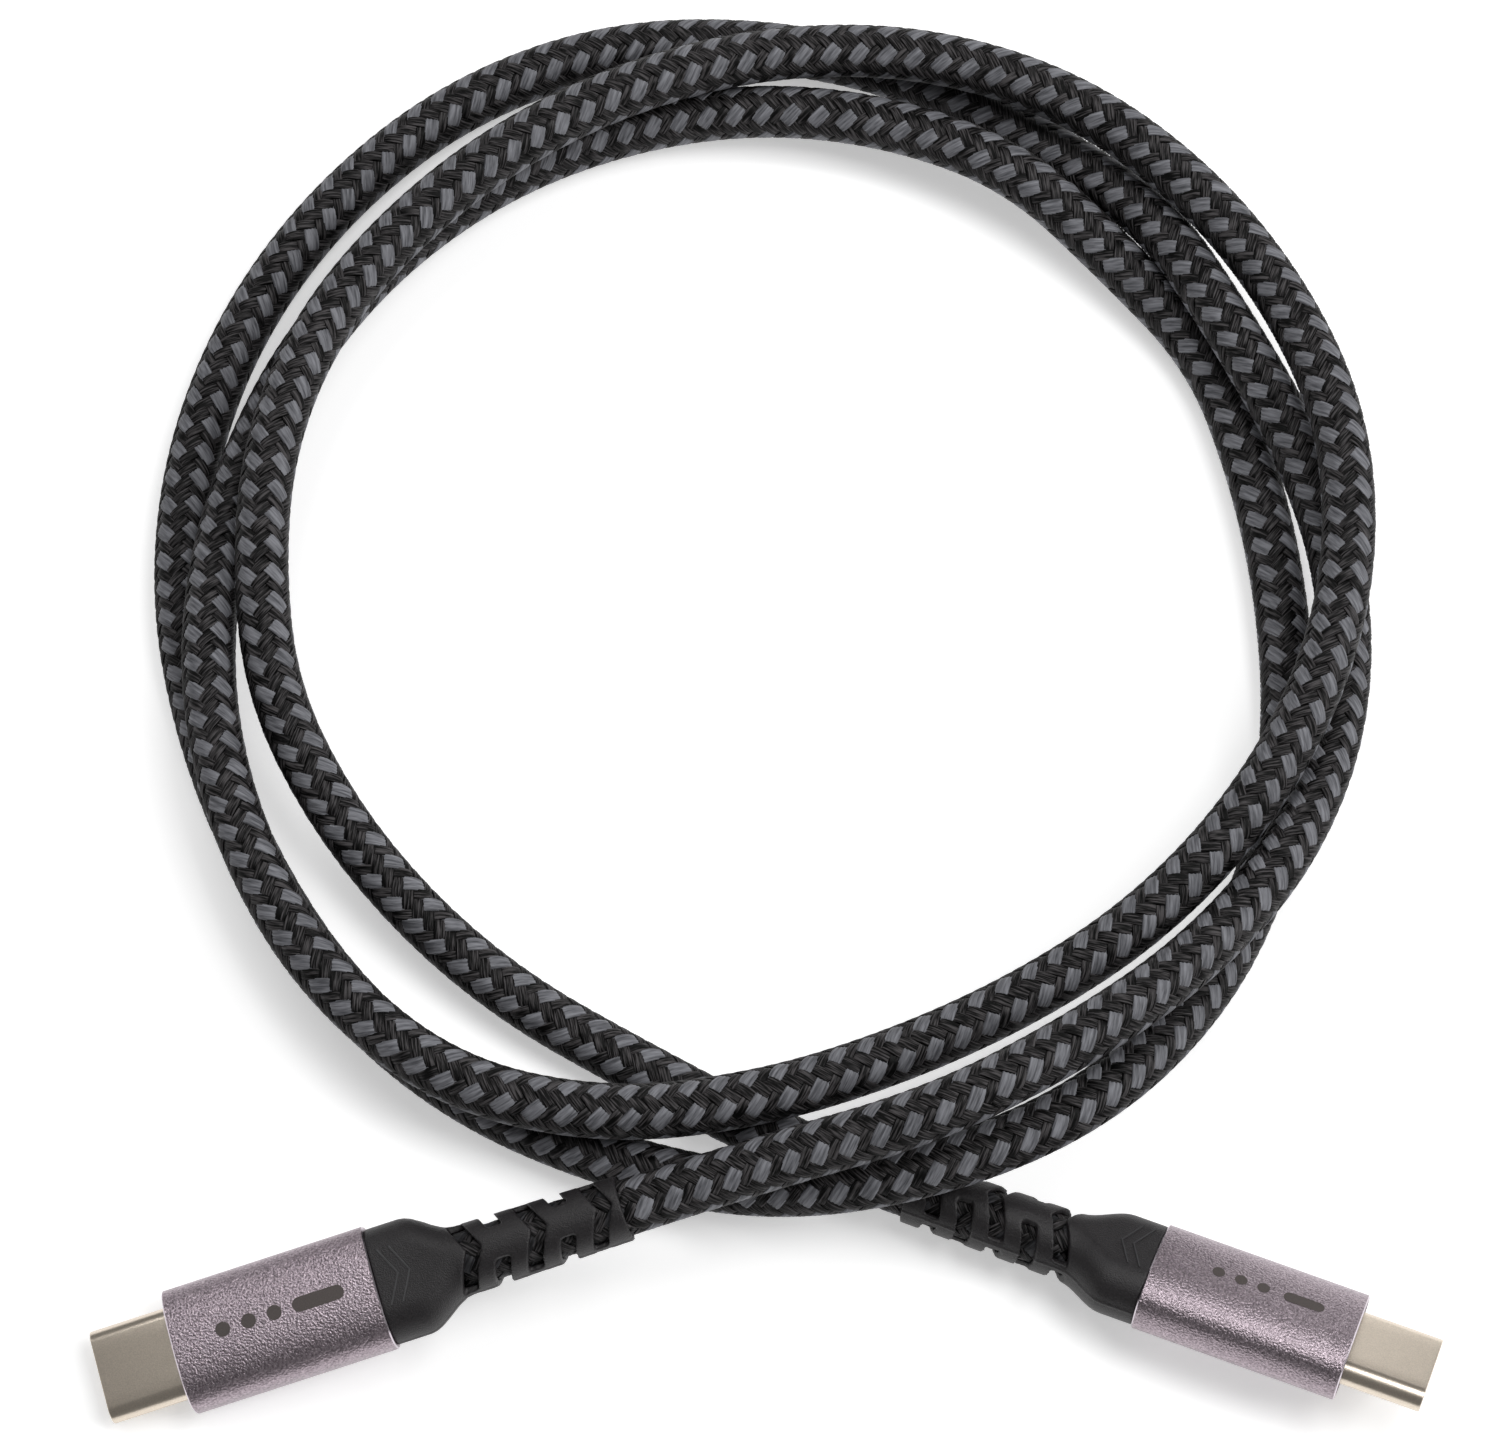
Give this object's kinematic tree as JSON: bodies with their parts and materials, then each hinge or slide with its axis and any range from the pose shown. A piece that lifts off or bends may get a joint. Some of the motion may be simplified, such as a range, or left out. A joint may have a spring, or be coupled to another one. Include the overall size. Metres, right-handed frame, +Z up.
{
  "type": "charging cable",
  "caption": "Braided black-and-grey charging cable coiled in three turns, with a small flat reversible plug, aluminium sleeve and slotted strain relief at each end.",
  "frame": {"origin": "bottom centre of the box round the two plugs, cord left out", "axes": "+X from the left plug to the right plug, +Y from the plugs towards the coil, +Z up from the table"},
  "size_m": [0.1152, 0.1334, 0.017],
  "materials": {
    "sleeve": "satin",
    "shell": "satin",
    "housing": "matte",
    "gold": "polished",
    "spring": "satin",
    "board": "matte",
    "chip": "gloss",
    "parts": "satin",
    "can": "satin",
    "mould": "matte",
    "wire_red": "gloss",
    "wire_white": "gloss",
    "ring": "satin",
    "braid": "matte",
    "boot": "matte",
    "jacket": "matte",
    "drain": "satin",
    "core": "satin"
  },
  "bodies": {
    "cord": {"braided_sleeve": "braid", "cable_jacket": "jacket", "braid_shield": "drain", "conductor_core": "core"},
    "plug_a": {"metal_sleeve_a": "sleeve", "plug_shell_a": "shell", "contact_housing_a": "housing", "ground_springs_a": "spring", "circuit_board_a": "board", "marker_chip_a": "chip", "board_components_a": "parts", "shield_can_upper_a": "can", "shield_can_lower_a": "can", "inner_mould_a": "mould", "power_wires_a": "wire_red", "data_pairs_a": "wire_white", "crimp_ring_a": "ring", "cord_flex_a": "braid", "strain_relief_a": "boot"},
    "latch_left_body_a": {"latch_left_a": "spring"},
    "latch_right_body_a": {"latch_right_a": "spring"},
    "upper_contacts_body_a": {"upper_contacts_a": "gold"},
    "lower_contacts_body_a": {"lower_contacts_a": "gold"},
    "plug_b": {"metal_sleeve_b": "sleeve", "plug_shell_b": "shell", "contact_housing_b": "housing", "ground_springs_b": "spring", "circuit_board_b": "board", "marker_chip_b": "chip", "board_components_b": "parts", "shield_can_upper_b": "can", "shield_can_lower_b": "can", "inner_mould_b": "mould", "power_wires_b": "wire_red", "data_pairs_b": "wire_white", "crimp_ring_b": "ring", "cord_flex_b": "braid", "strain_relief_b": "boot"},
    "latch_left_body_b": {"latch_left_b": "spring"},
    "latch_right_body_b": {"latch_right_b": "spring"},
    "upper_contacts_body_b": {"upper_contacts_b": "gold"},
    "lower_contacts_body_b": {"lower_contacts_b": "gold"}
  },
  "joints": [
    {"name": "relief_bend_a", "type": "hinge", "parent": "cord", "child": "plug_a", "pos_m": [-0.02238, 0.00265, 0.00716], "axis": [-0.1334, -0.0395, 0.9903], "range_deg": [-30, 30], "stiffness_Nm_per_rad": 0.08, "deforming": ["strain_relief_a", "cord_flex_a"]},
    {"name": "latch_left_spring_a", "type": "hinge", "parent": "plug_a", "child": "latch_left_body_a", "pos_m": [-0.04395, -0.00719, 0.00386], "axis": [-0.1334, -0.0395, 0.9903], "range_deg": [0, 1], "stiffness_Nm_per_rad": 0.02},
    {"name": "latch_right_spring_a", "type": "hinge", "parent": "plug_a", "child": "latch_right_body_a", "pos_m": [-0.04583, -0.00085, 0.00386], "axis": [0.1334, 0.0395, -0.9903], "range_deg": [0, 1], "stiffness_Nm_per_rad": 0.02},
    {"name": "upper_contacts_spring_a", "type": "hinge", "parent": "plug_a", "child": "upper_contacts_body_a", "pos_m": [-0.04602, -0.00436, 0.004], "axis": [-0.284, 0.9588, 0], "range_deg": [0, 0.8], "stiffness_Nm_per_rad": 0.02},
    {"name": "lower_contacts_spring_a", "type": "hinge", "parent": "plug_a", "child": "lower_contacts_body_a", "pos_m": [-0.04594, -0.00433, 0.0034], "axis": [0.284, -0.9588, 0], "range_deg": [0, 0.8], "stiffness_Nm_per_rad": 0.02},
    {"name": "relief_bend_b", "type": "hinge", "parent": "cord", "child": "plug_b", "pos_m": [0.02281, 0.0048, 0.00377], "axis": [-0.0489, 0.0188, 0.9986], "range_deg": [-30, 30], "stiffness_Nm_per_rad": 0.08, "deforming": ["strain_relief_b", "cord_flex_b"]},
    {"name": "latch_left_spring_b", "type": "hinge", "parent": "plug_b", "child": "latch_left_body_b", "pos_m": [0.046, -0.00109, 0.00325], "axis": [0.1485, 0.5106, 0.8469], "range_deg": [0, 1], "stiffness_Nm_per_rad": 0.02},
    {"name": "latch_right_spring_b", "type": "hinge", "parent": "plug_b", "child": "latch_right_body_b", "pos_m": [0.04382, -0.00627, 0.00676], "axis": [-0.1485, -0.5106, -0.8469], "range_deg": [0, 1], "stiffness_Nm_per_rad": 0.02},
    {"name": "upper_contacts_spring_b", "type": "hinge", "parent": "plug_b", "child": "upper_contacts_body_b", "pos_m": [0.04603, -0.00394, 0.00532], "axis": [-0.3298, -0.7818, 0.5292], "range_deg": [0, 0.8], "stiffness_Nm_per_rad": 0.02},
    {"name": "lower_contacts_spring_b", "type": "hinge", "parent": "plug_b", "child": "lower_contacts_body_b", "pos_m": [0.04594, -0.00424, 0.00481], "axis": [0.3298, 0.7818, -0.5292], "range_deg": [0, 0.8], "stiffness_Nm_per_rad": 0.02}
  ]
}
